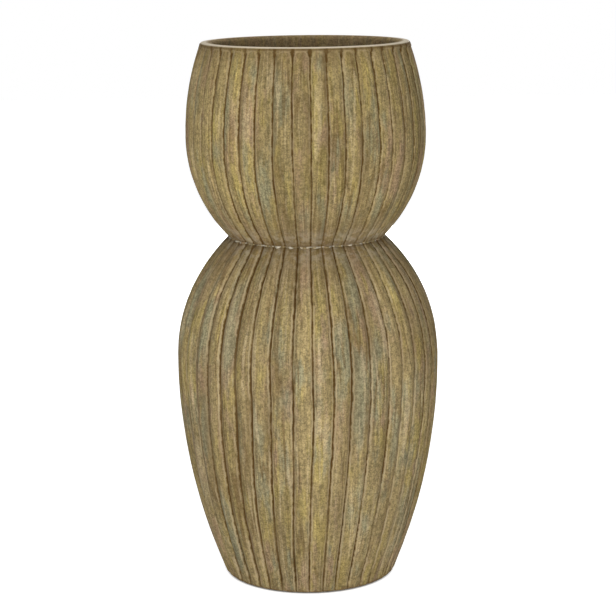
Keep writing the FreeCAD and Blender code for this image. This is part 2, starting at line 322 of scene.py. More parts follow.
def belly_outline(shape):
    """The belly's closed section and how many of its first rows are carved."""
    foot = (shape.foot_radius, FOOT_LIFT)
    widest = (BELLY_RADIUS, shape.belly_height)
    waist = (shape.waist_radius, JOINT_LOW)
    rounding = corner_rows(foot, lean_at_end(widest, foot), shape.foot_round, -1, FOOT_ROWS)[::-1]
    low_arc = arc_rows(widest, foot, OUTER_STEP)[::-1]
    low_arc = low_arc[low_arc[:, 1] > rounding[-1, 1] + OUTER_STEP / 3.0]
    high_arc = arc_rows(widest, waist, OUTER_STEP)[1:]
    carved = np.concatenate([rounding, low_arc, high_arc])
    inside_wide = (BELLY_RADIUS - shape.belly_wall, shape.belly_height)
    neck_low = (shape.neck_radius, JOINT_LOW - shape.neck_run)
    floor = (shape.floor_radius, SHOULDER)
    hidden = np.concatenate([
        [(shape.spigot_radius, JOINT_LOW), (shape.spigot_radius, SPIGOT_TOP)],
        [(shape.neck_radius, SPIGOT_TOP)],
        arc_rows(inside_wide, neck_low, INNER_STEP)[::-1],
        arc_rows(inside_wide, floor, INNER_STEP)[1:],
        [(SEAT_RADIUS, SHOULDER), (SEAT_RADIUS, FOOT_LIFT)],
    ])
    return np.concatenate([carved, hidden]), len(carved)


def fine_rows_from(shape):
    """Height over which the bowl's rows are close enough for the ribs' arched tops."""
    return RIM_HEIGHT - shape.lip_band - 2.0 * shape.rib_arch


def bowl_outline(shape):
    """The bowl's closed section and how many of its first rows are carved."""
    waist = (shape.waist_radius, JOINT_HIGH)
    widest = (BOWL_RADIUS, shape.bowl_height)
    rim = (shape.rim_radius, RIM_HEIGHT)
    mouth_radius = shape.rim_radius - shape.wall
    low_arc = arc_rows(widest, waist, OUTER_STEP)[::-1]
    high_arc = arc_rows(widest, rim, OUTER_STEP)[1:]
    near_rim = arc_rows(widest, rim, FINE_STEP)[1:]
    fine_from = fine_rows_from(shape)
    high_arc = np.concatenate([high_arc[high_arc[:, 1] < fine_from - FINE_STEP],
                               near_rim[near_rim[:, 1] >= fine_from]])
    lip = corner_rows(rim, lean_at_end(widest, rim), shape.lip_round, 1, LIP_ROWS)
    high_arc = high_arc[high_arc[:, 1] < lip[0, 1] - FINE_STEP / 2.0]
    carved = np.concatenate([low_arc, high_arc, lip])
    inner_lip = corner_rows((-mouth_radius, RIM_HEIGHT), 0.0, shape.lip_round, 1, LIP_ROWS)[::-1]
    inner_lip[:, 0] *= -1.0
    land_end = (mouth_radius, RIM_HEIGHT - shape.mouth_land)
    inside_wide = (BOWL_RADIUS - shape.wall, shape.bowl_height)
    neck_high = (shape.neck_radius, SOCKET_TOP + shape.neck_run)
    socket_radius = shape.spigot_radius + (JOINT_HIGH - JOINT_LOW)
    hidden = np.concatenate([
        steps_between(lip[-1], inner_lip[0], RIM_ROWS),
        inner_lip,
        steps_between(inner_lip[-1], land_end, LAND_ROWS),
        arc_rows(inside_wide, land_end, INNER_STEP / 2.0)[::-1],
        arc_rows(inside_wide, neck_high, INNER_STEP)[1:],
        [(shape.neck_radius, SOCKET_TOP), (socket_radius, SOCKET_TOP)],
        [(socket_radius, JOINT_HIGH)],
    ])
    return np.concatenate([carved, hidden]), len(carved)


# Carving

# Places of the mesh's columns on a rib, from groove to groove, closest beside the grooves
COLUMN_SHARES = np.array(
    [0, 0.022, 0.048, 0.08, 0.13, 0.21, 0.34, 0.5, 0.66, 0.79, 0.87, 0.92, 0.952, 0.978])

# How far the grooves on the front lie off an even spacing, as shares of the spacing
FIRST_HAND_GROOVE = 23
BELLY_HAND_SHARES = (-0.10, 0.0, -0.01, -0.01, -0.09, -0.13, -0.13, 0.02, 0.01, 0.05, -0.02,
                     0.0, 0.14, 0.0, 0.02, 0.05, 0.08)
BOWL_HAND_SHARES = (-0.16, -0.14, -0.11, -0.11, -0.08, -0.08, -0.06, 0.05, 0.06, 0.02, -0.03,
                    -0.08, 0.07, -0.04, 0.04, -0.01, 0.02)
OTHER_HAND_SHARE = 0.1

# Stretches of grooves where the wash settled darkest, partly painted shade of the ribs at the
# sides: groove, lowest and highest place, strength
FLANK_STAINS_AND_SHADE = ((25, 60 * MM, 320 * MM, 1.0), (26, 50 * MM, 240 * MM, 0.6),
               (27, 40 * MM, 210 * MM, 0.8), (34, 250 * MM, 360 * MM, 0.9),
               (36, 240 * MM, 350 * MM, 0.7), (29, 30 * MM, 130 * MM, 0.6),
               (23, 220 * MM, 380 * MM, 0.5), (27, 240 * MM, 380 * MM, 0.5),
               (38, 190 * MM, 350 * MM, 0.6), (40, 170 * MM, 320 * MM, 0.6))

# What the random draws are for, in their order; a draw's seed is the user's seed plus its place
DRAWS = ("spacing", "sway", "waver", "depth", "width", "tilt", "crown", "swell", "lumps", "step",
         "squeeze", "left flank", "right flank")

# Cells of the soft noises up the whole vase; around it each groove or rib is one cell
SWAY_CELLS = 9
WAVER_CELLS = 60
DEPTH_CELLS = 16
WIDTH_CELLS = 70
CROWN_CELLS = 12
STEP_CELLS = 7
FLANK_CELLS = 6

# Line of a groove, as shares of the spacing
SWAY_SHARE = 0.1
WAVER_SHARE = 0.05

# Section of a groove: least depth and width with what the noise adds, and how steep it is
LEAST_DEPTH = 0.55
DEPTH_SPREAD = 0.45
DEPTH_CONTRAST = 2.4
DEPTH_BIAS = 0.2
LEAST_WIDTH = 0.75
WIDTH_SPREAD = 0.6
GROOVE_POWER = 1.35

# Section of a rib: least crown with what the noise adds, how far the top lies off the middle
LEAST_CROWN = 0.6
CROWN_SPREAD = 0.8
CROWN_TILT = 0.3
CROWN_POWER = 1.8
STEP_BLEND = 0.05

# Unevenness of the whole wall: cells around and up, and its height
SWELL_CELLS = (18, 12)
SWELL = 0.4 * MM
LUMP_CELLS = (120, 80)
LUMPS = 0.25 * MM

# Dark wash beside the grooves, partly painted shade of the ribs' flanks: only the noise's peaks
# show it
FLANK_CONTRAST = 2.6
FLANK_BIAS = 1.15

# How fast the groove's dark line moves onto its far wall away from the front, and more on the
# right: painted shade of the groove
FAR_WALL_RISE = 1.5
FAR_WALL_RIGHT = 0.4

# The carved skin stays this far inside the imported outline
SKIN = 0.1 * MM

# Arched tops of the ribs: shape, fade of the carving, and the uneven line cut along them
ARCH_POWER = 2.5
ARCH_FADE = 1.5 * MM
ARCH_LINE_GAP = 0.3
ARCH_LINE_UNEVEN = 0.5
ARCH_LINE_WAVES = 7.0
ARCH_OPENING = 0.6
ARCH_OPENING_RUN = 3.0

# Distances below the top of the rim: where the pale edge is full and starts, and the smooth lip
PALE_FULL = 0.4 * MM
PALE_START = 1.1 * MM
SMOOTH_LIP = 2.0 * MM

# How much of a cut's dark line stays where nothing is carved
UNCARVED_CUT = 0.7

# Share of the carving that reaches the foot, and what comes back above it
FOOT_CARVING = 0.4
FOOT_CARVING_SPREAD = 0.6

# Squeezed slip: degrees from the front where it starts and is thick, and where it thins again
SQUEEZE_START = (-88.0, -62.0)
SQUEEZE_THINS = (0.0, 60.0)
SQUEEZE_THINNING = 0.8
SQUEEZE_CELLS = (130, 1)
SQUEEZE_CONTRAST = 2.6
SQUEEZE_BIAS = 1.0
SQUEEZE_THICK_BIAS = 0.45
LEAST_SQUEEZE = 0.35
SQUEEZE_SPREAD = 0.65

# How far a drop of slip stands out from the wall, as a share of how far it runs down
DROP_BULGE = 0.12

# Least length that a step is divided by, so that a double row gives no fault
SHORTEST = 1e-9


def seed_of(shape, draw):
    return shape.seed + DRAWS.index(draw)


def per_row(values):
    """One value for each row, laid out to meet all ribs and columns."""
    return values[:, None, None]


def flank_stains_and_shade(heights, grooves):
    """How dark the wash settled by hand beside each of these grooves at each height, with painted
    shade at the sides.
    """
    stained = np.zeros((len(heights), len(grooves), 1))
    for groove, low, high, strength in FLANK_STAINS_AND_SHADE:
        fade = (high - low) / 3.0
        window = soft_step(heights, low, low + fade) * soft_step(-heights, -high, fade - high)
        here = grooves == groove
        stained[:, here, 0] = np.maximum(stained[:, here, 0], strength * window[:, None])
    return stained


def hand_offsets(shape, front_shares):
    """Each groove's share of the spacing that it lies off its even place."""
    draw = np.random.RandomState(seed_of(shape, "spacing"))
    shares = draw.uniform(-OTHER_HAND_SHARE, OTHER_HAND_SHARE, shape.groove_count)
    places = (FIRST_HAND_GROOVE + np.arange(len(front_shares))) % shape.groove_count
    shares[places] = front_shares
    return np.append(shares, shares[0])


def groove_angles(shape, heights):
    """Angle of each groove at each height: uneven spacing and a slightly wavering cut."""
    count = shape.groove_count
    numbers = np.arange(count + 1)
    pitch = FULL_TURN / count
    up = heights[:, None] / RIM_HEIGHT
    upper = soft_step(heights[:, None], shape.belly_height, shape.bowl_height)
    offsets = (1.0 - upper) * hand_offsets(shape, BELLY_HAND_SHARES)[None, :]
    offsets = offsets + upper * hand_offsets(shape, BOWL_HAND_SHARES)[None, :]
    across = np.mod(numbers[None, :] + 0.5, count) / count
    sway = soft_noise(across, up, count, SWAY_CELLS, seed_of(shape, "sway")) - 0.5
    waver = soft_noise(across, up, count, WAVER_CELLS, seed_of(shape, "waver")) - 0.5
    sway[:, -1] = sway[:, 0]
    waver[:, -1] = waver[:, 0]
    lean = shape.foot_lean * (1.0 - soft_step(heights[:, None], 0.0, shape.belly_height))
    start = shape.groove_turn + numbers[None, :] * pitch
    return start + lean + pitch * (offsets + SWAY_SHARE * sway + WAVER_SHARE * waver)


def section_normals(rows):
    """Outward direction of each row of a closed section, across and up."""
    ahead = np.roll(rows, -1, axis=0) - rows
    behind = rows - np.roll(rows, 1, axis=0)

    def unit(steps):
        return steps / np.maximum(np.linalg.norm(steps, axis=1), SHORTEST)[:, None]

    along = unit(unit(ahead) + unit(behind))
    return np.stack([along[:, 1], -along[:, 0]], 1)


def carve(shape, rows, angles):
    """Turns of all columns, how deep the carving goes there, and what the materials need."""
    count = shape.groove_count
    gaps = np.diff(angles, axis=1)[:, :, None]
    shares = COLUMN_SHARES[None, None, :]
    turns = angles[:, :-1, None] + gaps * shares
    radii = per_row(rows[:, 0])
    up = per_row(rows[:, 1] / RIM_HEIGHT) + 0.0 * turns
    from_left = shares * gaps * radii
    from_right = (1.0 - shares) * gaps * radii
    numbers = np.arange(count)[None, :, None] + 0.0 * turns
    left_groove = (numbers + 0.5) / count
    right_groove = np.mod(numbers + 1.5, count) / count

    def hand_noise(which, cells, draw):
        return soft_noise(which, up, count, cells, seed_of(shape, draw))

    def groove(distance, which):
        depth = DEPTH_CONTRAST * hand_noise(which, DEPTH_CELLS, "depth") - DEPTH_BIAS
        strength = LEAST_DEPTH + DEPTH_SPREAD * np.clip(depth, 0.0, 1.0)
        width = LEAST_WIDTH + WIDTH_SPREAD * hand_noise(which, WIDTH_CELLS, "width")
        reach = shape.groove_reach * width
        return strength, strength * np.exp(-(distance / reach) ** GROOVE_POWER)

    left_strength, left = groove(from_left, left_groove)
    right_strength, right = groove(from_right, right_groove)
    strength = left_strength * (1.0 - shares) + right_strength * shares
    tilt_draw = np.random.RandomState(seed_of(shape, "tilt"))
    tilt = tilt_draw.uniform(-CROWN_TILT, CROWN_TILT, count)[None, :, None]
    slack = LEAST_CROWN + CROWN_SPREAD * hand_noise(left_groove, CROWN_CELLS, "crown")
    crown = shape.rib_crown * slack * np.abs(2.0 * shares - 1.0 - tilt) ** CROWN_POWER
    on_bowl = per_row(soft_step(rows[:, 1], JOINT_LOW, JOINT_HIGH + shape.calm_end))
    crown *= 1.0 - shape.bowl_flatness * on_bowl
    step = shape.rib_step * hand_noise(left_groove, STEP_CELLS, "step")
    blend = np.minimum(1.0, np.minimum(shares, 1.0 - shares) / STEP_BLEND)
    carved = shape.groove_depth * np.maximum(left, right) + crown + step * blend
    across = turns / FULL_TURN
    swell = SWELL * soft_noise(across, up, *SWELL_CELLS, seed_of(shape, "swell"))
    lumps = LUMPS * soft_noise(across, up, *LUMP_CELLS, seed_of(shape, "lumps"))

    def flank(distance, which, grooves, draw):
        patchy = FLANK_CONTRAST * hand_noise(which, FLANK_CELLS, draw) - FLANK_BIAS
        patchy = np.maximum(np.clip(patchy, 0.0, 1.0), flank_stains_and_shade(rows[:, 1], grooves))
        return patchy * np.exp(-(distance / shape.flank_reach) ** 2.0)

    # Away from the front the groove's dark line lies on its far wall as seen from the front, more
    # on the right: painted shade of the groove
    from_front = turns - FRONT_TURN
    far_wall = np.clip(FAR_WALL_RISE * np.sin(2.0 * from_front), -1.0, 1.0)
    far_wall *= np.abs(np.sin(from_front))
    far_wall *= shape.far_wall_shade * (1.0 + FAR_WALL_RIGHT * np.sin(from_front))
    gap = np.minimum(from_left - np.maximum(far_wall, 0.0), from_right + np.minimum(far_wall, 0.0))
    masks = {
        "flank": np.maximum(
            flank(from_left, left_groove, np.arange(count), "left flank"),
            flank(from_right, right_groove, np.arange(count) + 1, "right flank")),
        "groove_gap": np.maximum(gap, 0.0) / MM,
        "cut": strength,
        "rib": numbers / count,
    }
    return turns, carved, swell + lumps, masks


def below_arches(shape, heights):
    """How far each place lies below the arch in which its rib ends at the lip band."""
    spread = np.abs(2.0 * COLUMN_SHARES - 1.0)[None, None, :] ** ARCH_POWER
    return RIM_HEIGHT - shape.lip_band - per_row(heights) - shape.rib_arch * spread


def gap_with_arches(shape, heights, turns, gap, below):
    """Distance to the nearest cut, in millimetres, with the line along the arches as a cut too."""
    uneven = ARCH_LINE_UNEVEN * np.abs(np.sin(ARCH_LINE_WAVES * turns))
    arch_gap = np.abs(below) / MM + ARCH_LINE_GAP + uneven
    opening_from = fine_rows_from(shape) - ARCH_OPENING_RUN * shape.rib_arch
    opening = per_row(soft_step(heights, opening_from, RIM_HEIGHT - shape.lip_band))
    return np.minimum(gap * (1.0 - ARCH_OPENING * opening), arch_gap)


def shell_mesh(name, shape, rows, carved_count, ends_at_lip):
    """Closed shell of revolution with carved outer rows, and its masks for the materials."""
    heights = rows[:, 1]
    turns, carved, uneven, masks = carve(shape, rows, groove_angles(shape, heights))
    outside = np.zeros(len(rows))
    outside[:carved_count] = 1.0
    inner = 1.0 - outside
    weight = per_row(outside) + 0.0 * turns
    pale = np.zeros(len(rows))
    if ends_at_lip:
        calm_ends = (JOINT_HIGH,)
        below = below_arches(shape, heights)
        weight *= np.clip(below / ARCH_FADE + 0.5, 0.0, 1.0)
        masks["groove_gap"] = gap_with_arches(shape, heights, turns, masks["groove_gap"], below)
        pale = outside * soft_step(heights, RIM_HEIGHT - PALE_START, RIM_HEIGHT - PALE_FULL)
        pale[carved_count] = 1.0
        outside *= soft_step(-heights, -RIM_HEIGHT, -RIM_HEIGHT + SMOOTH_LIP)
    else:
        calm_ends = (FOOT_LIFT, JOINT_LOW)
        above_foot = soft_step(per_row(heights) - FOOT_LIFT, 0.0, shape.calm_end)
        weight *= FOOT_CARVING + FOOT_CARVING_SPREAD * above_foot
    normals = section_normals(rows)
    for end in calm_ends:
        normals[:, 1] *= soft_step(np.abs(heights - end), 0.0, shape.calm_end)
    sink = (carved + SKIN) * weight + uneven * per_row(outside)
    masks["cut"] = masks["cut"] * np.maximum(weight, UNCARVED_CUT * per_row(outside))
    masks["pale"] = per_row(pale) + 0.0 * turns
    masks["inner"] = per_row(inner * (1.0 - pale)) + 0.0 * turns
    across = per_row(rows[:, 0]) - sink * per_row(normals[:, 0])
    up = per_row(heights) - sink * per_row(normals[:, 1])
    return turned_mesh(name, turns, across, up, masks)


def seam_mesh(name, shape):
    """Slip between the shells: it follows the ribs, and squeezes out here and there."""
    socket_radius = shape.spigot_radius + (JOINT_HIGH - JOINT_LOW)
    middle = (JOINT_LOW + JOINT_HIGH) / 2.0
    # Radius, height, whether the place shows, and how much of the drop it takes
    section = np.array([
        (shape.spigot_radius, JOINT_LOW, 0, 0),
        (shape.waist_radius, JOINT_LOW, 1, 1),
        (shape.waist_radius, middle, 1, 0.3),
        (shape.waist_radius, JOINT_HIGH, 1, 0),
        (socket_radius, JOINT_HIGH, 0, 0),
        (socket_radius, SOCKET_TOP, 0, 0),
        (shape.neck_radius, SOCKET_TOP, 0, 0),
        (shape.neck_radius, SPIGOT_TOP, 0, 0),
        (shape.spigot_radius, SPIGOT_TOP, 0, 0),
    ])
    rows = section[:, :2]
    turns, carved, uneven, masks = carve(shape, rows, groove_angles(shape, rows[:, 1]))
    from_front = np.degrees(np.mod(turns - FRONT_TURN + math.pi, FULL_TURN) - math.pi)
    thinning = 1.0 - SQUEEZE_THINNING * soft_step(from_front, *SQUEEZE_THINS)
    thick = soft_step(from_front, *SQUEEZE_START) * thinning
    squeeze = soft_noise(turns / FULL_TURN, 0.0 * turns, *SQUEEZE_CELLS, seed_of(shape, "squeeze"))
    squeeze = squeeze * SQUEEZE_CONTRAST - SQUEEZE_BIAS + SQUEEZE_THICK_BIAS * thick
    squeeze = np.clip(squeeze, 0.0, 1.0) * (LEAST_SQUEEZE + SQUEEZE_SPREAD * thick)
    lean = lean_at_end((BELLY_RADIUS, shape.belly_height), (shape.waist_radius, JOINT_LOW))
    sink = math.cos(lean) * (carved + SKIN + uneven) + shape.slip_recess * (1.0 - squeeze)
    sink = np.maximum(sink, shape.waist_radius - SEAM_RADIUS)
    drop = shape.slip_drop * squeeze * per_row(section[:, 3])
    masks["pale"] = squeeze
    across = per_row(rows[:, 0]) - sink * per_row(section[:, 2])
    across += drop * (math.tan(lean) + DROP_BULGE)
    return turned_mesh(name, turns, across, per_row(rows[:, 1]) - drop, masks)


def turned_mesh(name, turns, across, up, masks):
    """Mesh of quads from radii and heights at all turns, closed both ways, with its masks."""
    row_count = len(turns)
    column_count = turns[0].size
    points = np.stack([across * np.cos(turns), across * np.sin(turns), up], -1)
    rows = np.arange(row_count)[:, None]
    columns = np.arange(column_count)[None, :]
    next_rows = (rows + 1) % row_count
    next_columns = (columns + 1) % column_count
    quads = np.stack([
        rows * column_count + columns,
        rows * column_count + next_columns,
        next_rows * column_count + next_columns,
        next_rows * column_count + columns,
    ], -1).reshape(-1, 4)
    mesh = bpy.data.meshes.new(name)
    mesh.from_pydata(points.reshape(-1, 3).tolist(), [], quads.tolist())
    mesh.validate()
    mesh.shade_smooth()
    for mask, values in masks.items():
        attribute = mesh.attributes.new(mask, "FLOAT", "POINT")
        attribute.data.foreach_set("value", np.asarray(values, np.float32).ravel())
    return mesh


def add_piece(name, mesh, material, slot, *nodes):
    """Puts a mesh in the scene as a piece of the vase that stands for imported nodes."""
    piece = bpy.data.objects.new(name, mesh)
    bpy.context.scene.collection.objects.link(piece)
    mesh.materials.append(material)
    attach(piece, "root")
    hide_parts(*nodes)
    return piece


# Material helpers

def new_tree(name):
    material = bpy.data.materials.new(name)
    material.use_nodes = True
    tree = material.node_tree
    tree.nodes.clear()
    output = tree.nodes.new("ShaderNodeOutputMaterial")
    shader = tree.nodes.new("ShaderNodeBsdfPrincipled")
    tree.links.new(shader.outputs["BSDF"], output.inputs["Surface"])
    return material, tree, shader


def set_input(tree, node, socket, value):
    if isinstance(value, bpy.types.NodeSocket):
        tree.links.new(value, node.inputs[socket])
    else:
        node.inputs[socket].default_value = value


def math_node(tree, operation, first, second=0.0, clamp=False):
    node = tree.nodes.new("ShaderNodeMath")
    node.operation = operation
    node.use_clamp = clamp
    set_input(tree, node, 0, first)
    set_input(tree, node, 1, second)
    return node.outputs[0]


# Sockets of a mix node's colours: a mix node has one set of sockets for each kind of data
MIX_FIRST = 6
MIX_SECOND = 7
MIX_RESULT = 2


def mix_colour(tree, factor, first, second, blend="MIX"):
    node = tree.nodes.new("ShaderNodeMix")
    node.data_type = "RGBA"
    node.blend_type = blend
    set_input(tree, node, 0, factor)
    set_input(tree, node, MIX_FIRST, first)
    set_input(tree, node, MIX_SECOND, second)
    return node.outputs[MIX_RESULT]


def remap(tree, value, low, high, to_low=0.0, to_high=1.0):
    node = tree.nodes.new("ShaderNodeMapRange")
    node.interpolation_type = "SMOOTHSTEP"
    set_input(tree, node, "Value", value)
    set_input(tree, node, "From Min", low)
    set_input(tree, node, "From Max", high)
    set_input(tree, node, "To Min", to_low)
    set_input(tree, node, "To Max", to_high)
    return node.outputs["Result"]


def vector_node(tree, operation, first, second=(0.0, 0.0, 0.0)):
    node = tree.nodes.new("ShaderNodeVectorMath")
    node.operation = operation
    set_input(tree, node, 0, first)
    set_input(tree, node, 1, second)
    return node.outputs[0]


def drum_vector(tree, place, stretch):
    """Place laid onto a straight drum, and drawn out upwards by a low stretch."""
    outward = vector_node(tree, "NORMALIZE", vector_node(tree, "MULTIPLY", place, (1.0, 1.0, 0.0)))
    drum = vector_node(tree, "MULTIPLY", outward, (BELLY_RADIUS, BELLY_RADIUS, 0.0))
    upward = vector_node(tree, "MULTIPLY", place, (0.0, 0.0, stretch))
    return vector_node(tree, "ADD", drum, upward)


def noise(tree, vector, scale, detail=2.0, roughness=0.5, shift=None):
    """Noise value; a shift gives each rib a noise of its own."""
    node = tree.nodes.new("ShaderNodeTexNoise")
    node.noise_dimensions = "4D" if shift is not None else "3D"
    set_input(tree, node, "Vector", vector)
    set_input(tree, node, "Scale", scale)
    set_input(tree, node, "Detail", detail)
    set_input(tree, node, "Roughness", roughness)
    if shift is not None:
        set_input(tree, node, "W", shift)
    return node.outputs["Fac"]


def mask_value(tree, name):
    node = tree.nodes.new("ShaderNodeAttribute")
    node.attribute_name = name
    return node.outputs["Fac"]


def place_vector(tree):
    return tree.nodes.new("ShaderNodeTexCoord").outputs["Object"]


def axis_value(tree, vector, axis):
    node = tree.nodes.new("ShaderNodeSeparateXYZ")
    set_input(tree, node, 0, vector)
    return node.outputs[axis]


def bump(tree, height, distance, strength=1.0, normal=None):
    node = tree.nodes.new("ShaderNodeBump")
    set_input(tree, node, "Height", height)
    node.inputs["Distance"].default_value = distance
    node.inputs["Strength"].default_value = strength
    if normal is not None:
        tree.links.new(normal, node.inputs["Normal"])
    return node.outputs["Normal"]


def new_group(name, inputs, outputs):
    """Node group with named sockets; returns the tree, its input node and output node."""
    tree = bpy.data.node_groups.new(name, "ShaderNodeTree")
    for label, kind, value in inputs:
        socket = tree.interface.new_socket(name=label, in_out="INPUT", socket_type=kind)
        if value is not None:
            socket.default_value = value
    for label, kind in outputs:
        tree.interface.new_socket(name=label, in_out="OUTPUT", socket_type=kind)
    return tree, tree.nodes.new("NodeGroupInput"), tree.nodes.new("NodeGroupOutput")


def use_group(tree, group, **values):
    node = tree.nodes.new("ShaderNodeGroup")
    node.node_tree = group
    for label, value in values.items():
        set_input(tree, node, label.replace("_", " "), value)
    return node


VALUE = "NodeSocketFloat"
COLOUR = "NodeSocketColor"
VECTOR = "NodeSocketVector"

# A noise's look: scale, detail, roughness, the values that are spread, and what they become
UNEVEN_GROOVES = (160.0, 3.0, 0.6, 0.35, 0.65, -0.35, 0.35)
EDGE_BREAKS = (55.0, 3.0, 0.5, 0.34, 0.54)
SMEAR_PATCHES = (130.0, 3.0, 0.5, 0.4, 0.6)
RUBBED_SLIP = (190.0, 2.0, 0.5, 0.43, 0.54)
BLOTCHES = (38.0, 3.0, 0.5, 0.35, 0.65, 0.78, 1.15)
CLOUDS = (16.0, 2.0, 0.5, 0.36, 0.64, 0.93, 1.07)
BROAD_STREAKS = (45.0, 3.0, 0.6, 0.34, 0.66, 0.89, 1.11)
STAINS = (160.0, 4.0, 0.7, 0.57, 0.7, 0.0, 0.36)
STREAKS = (440.0, 3.0, 0.75)
STREAK_TONES = (0.34, 0.66, 0.76, 1.2)

# Upright patches of the wash: colour, scale, shift, and where the colour comes in and is full
PATCHES = (("ochre", 40.0, 40.0, 0.46, 0.62), ("rose_brown", 44.0, 80.0, 0.51, 0.64),
           ("grey_green", 38.0, 120.0, 0.5, 0.63))
PATCH_NOISE = (4.0, 0.65)

# Hairlines of the wash: colour, scale, shift and strength
HAIRLINES = (("umber", 95.0, 160.0, 0.7), ("sand", 80.0, 200.0, 0.5))
HAIRLINE_NOISE = (1.5, 0.5)
HAIRLINE_WIDTH = (0.035, 0.008)
HAIRLINE_PATCHES = (60.0, 2.0, 0.5, 0.42, 0.6, 0.0)

# How much each kind of noise is drawn out upwards, and its change from rib to rib
PATCH_STRETCH = 0.3
STREAK_STRETCH = 0.1
HAIRLINE_STRETCH = 0.05
RIB_SHIFT = 23.0

# Sand: the coarse grain's scale, the noises, their shares and what is spread into the tone
COARSE_SCALE = 0.4
FINE_NOISE = (3.0, 0.7)
COARSE_NOISE = (2.0, 0.6)
FINE_SHARE = 0.6
COARSE_SHARE = 0.4
SAND_TONES = (0.36, 0.64, -1.0, 1.0)
SAND_RELIEF = (0.35, 0.65)


def times(tree, first, second):
    return math_node(tree, "MULTIPLY", first, second)


def plus(tree, first, second):
    return math_node(tree, "ADD", first, second)


def stronger_of(tree, first, second):
    return math_node(tree, "MAXIMUM", first, second)


def toned(tree, colour, tone):
    return mix_colour(tree, 1.0, colour, tone, "MULTIPLY")


def painted(tree, colour, share, paint):
    """Colour covered by a share of a paint, which is a plain colour setting."""
    return mix_colour(tree, share, colour, (*paint, 1.0))


def spread_noise(tree, vector, look, shift=None):
    scale, detail, roughness, *spread = look
    return remap(tree, noise(tree, vector, scale, detail, roughness, shift), *spread)


def sand_group():
    """Sandy grain of coarse clay: a tone that speckles the colour and a height."""
    tree, given, result = new_group(
        "Sand Grain",
        [("Place", VECTOR, None), ("Grain Scale", VALUE, 620.0), ("Contrast", VALUE, 0.36)],
        [("Tone", VALUE), ("Height", VALUE)])
    place = given.outputs["Place"]
    fine_scale = given.outputs["Grain Scale"]
    fine = noise(tree, place, fine_scale, *FINE_NOISE)
    coarse = noise(tree, place, times(tree, fine_scale, COARSE_SCALE), *COARSE_NOISE)
    together = plus(tree, times(tree, fine, FINE_SHARE), times(tree, coarse, COARSE_SHARE))
    spread = remap(tree, together, *SAND_TONES)
    tone = plus(tree, 1.0, times(tree, spread, given.outputs["Contrast"]))
    tree.links.new(tone, result.inputs["Tone"])
    tree.links.new(together, result.inputs["Height"])
    return tree


def wash_group(colours):
    """Streaky wash: upright patches of ochre, olive, grey green, rose brown and umber."""
    tree, given, result = new_group(
        "Streaky Wash",
        [("Place", VECTOR, None), ("Rib", VALUE, 0.0)],
        [("Color", COLOUR), ("Streak", VALUE)])
    place = given.outputs["Place"]
    shift = times(tree, given.outputs["Rib"], RIB_SHIFT)
    upright = drum_vector(tree, place, PATCH_STRETCH)
    streaky = drum_vector(tree, place, STREAK_STRETCH)
    hairy = drum_vector(tree, place, HAIRLINE_STRETCH)

    def hairlines(scale, moved, strength):
        value = noise(tree, hairy, scale, *HAIRLINE_NOISE, moved)
        away = math_node(tree, "ABSOLUTE", math_node(tree, "SUBTRACT", value, 0.5))
        line = remap(tree, away, *HAIRLINE_WIDTH)
        return times(tree, line, spread_noise(tree, upright, (*HAIRLINE_PATCHES, strength), moved))

    colour = (*colours.olive, 1.0)
    for paint, scale, own_shift, start, full in PATCHES:
        moved = plus(tree, shift, own_shift)
        share = spread_noise(tree, upright, (scale, *PATCH_NOISE, start, full), moved)
        colour = painted(tree, colour, share, getattr(colours, paint))
    streak = noise(tree, streaky, *STREAKS)
    tone = times(tree, remap(tree, streak, *STREAK_TONES),
                 spread_noise(tree, streaky, BROAD_STREAKS))
    tone = times(tree, tone, spread_noise(tree, upright, CLOUDS))
    colour = toned(tree, colour, tone)
    colour = painted(tree, colour, spread_noise(tree, streaky, STAINS), colours.umber)
    for paint, scale, own_shift, strength in HAIRLINES:
        moved = plus(tree, shift, own_shift)
        colour = painted(tree, colour, hairlines(scale, moved, strength), getattr(colours, paint))
    tree.links.new(colour, result.inputs["Color"])
    tree.links.new(streak, result.inputs["Streak"])
    return tree


def sandy_finish(tree, shader, colour, sand, roughness, relief, normal=None):
    """Sets the colour, the roughness from hollows to tops of the grain, and the grain's relief."""
    set_input(tree, shader, "Base Color", colour)
    rough = remap(tree, sand.outputs["Height"], *SAND_RELIEF, *roughness)
    set_input(tree, shader, "Roughness", rough)
    set_input(tree, shader, "Normal", bump(tree, sand.outputs["Height"], *relief, normal))


# Distances from a groove's middle, in millimetres, from which and to which an effect grows
EDGE_START = (0.8, 1.4)
EDGE_END = (2.8, 1.6)
# Dark wash beside the grooves, partly painted shade at their edges
SETTLED_AND_SHADE_REACH = (4.0, 0.6)
CORE_REACH = (0.9, 0.32)
BELLY_GAP = 0.9
BOWL_GAP = 1.07

# Distances below the rim from which and to which an effect grows
DEEP_CUTS = (55 * MM, 10 * MM)
RIM_DARK = (30 * MM, 4 * MM)
# A thin dark line just under the lip: painted shadow
LIP_LINE_LOW = (4.2 * MM, 2.6 * MM)
LIP_LINE_HIGH = (1.2 * MM, 1.9 * MM)

# Distances from the bowl's lower edge from which and to which an effect at the waist grows
# Painted shade at the waist, where the bowl and the belly close in
WAIST_DARK = (60 * MM, 5 * MM)
SMEAR = (26 * MM, 4 * MM)
# Painted shade in the crease beside the seam
CREASE = (9 * MM, 1 * MM)
CREASE_UNEVEN = 8 * MM

# Distances above the foot between which its dark edge grows, and how unevenly: painted contact
# shade with a dark stain
FOOT_DARK = (6 * MM, 1 * MM)
FOOT_UNEVEN = 6 * MM

# How far up the bowl its own tone is full
BOWL_BLEND = 20 * MM

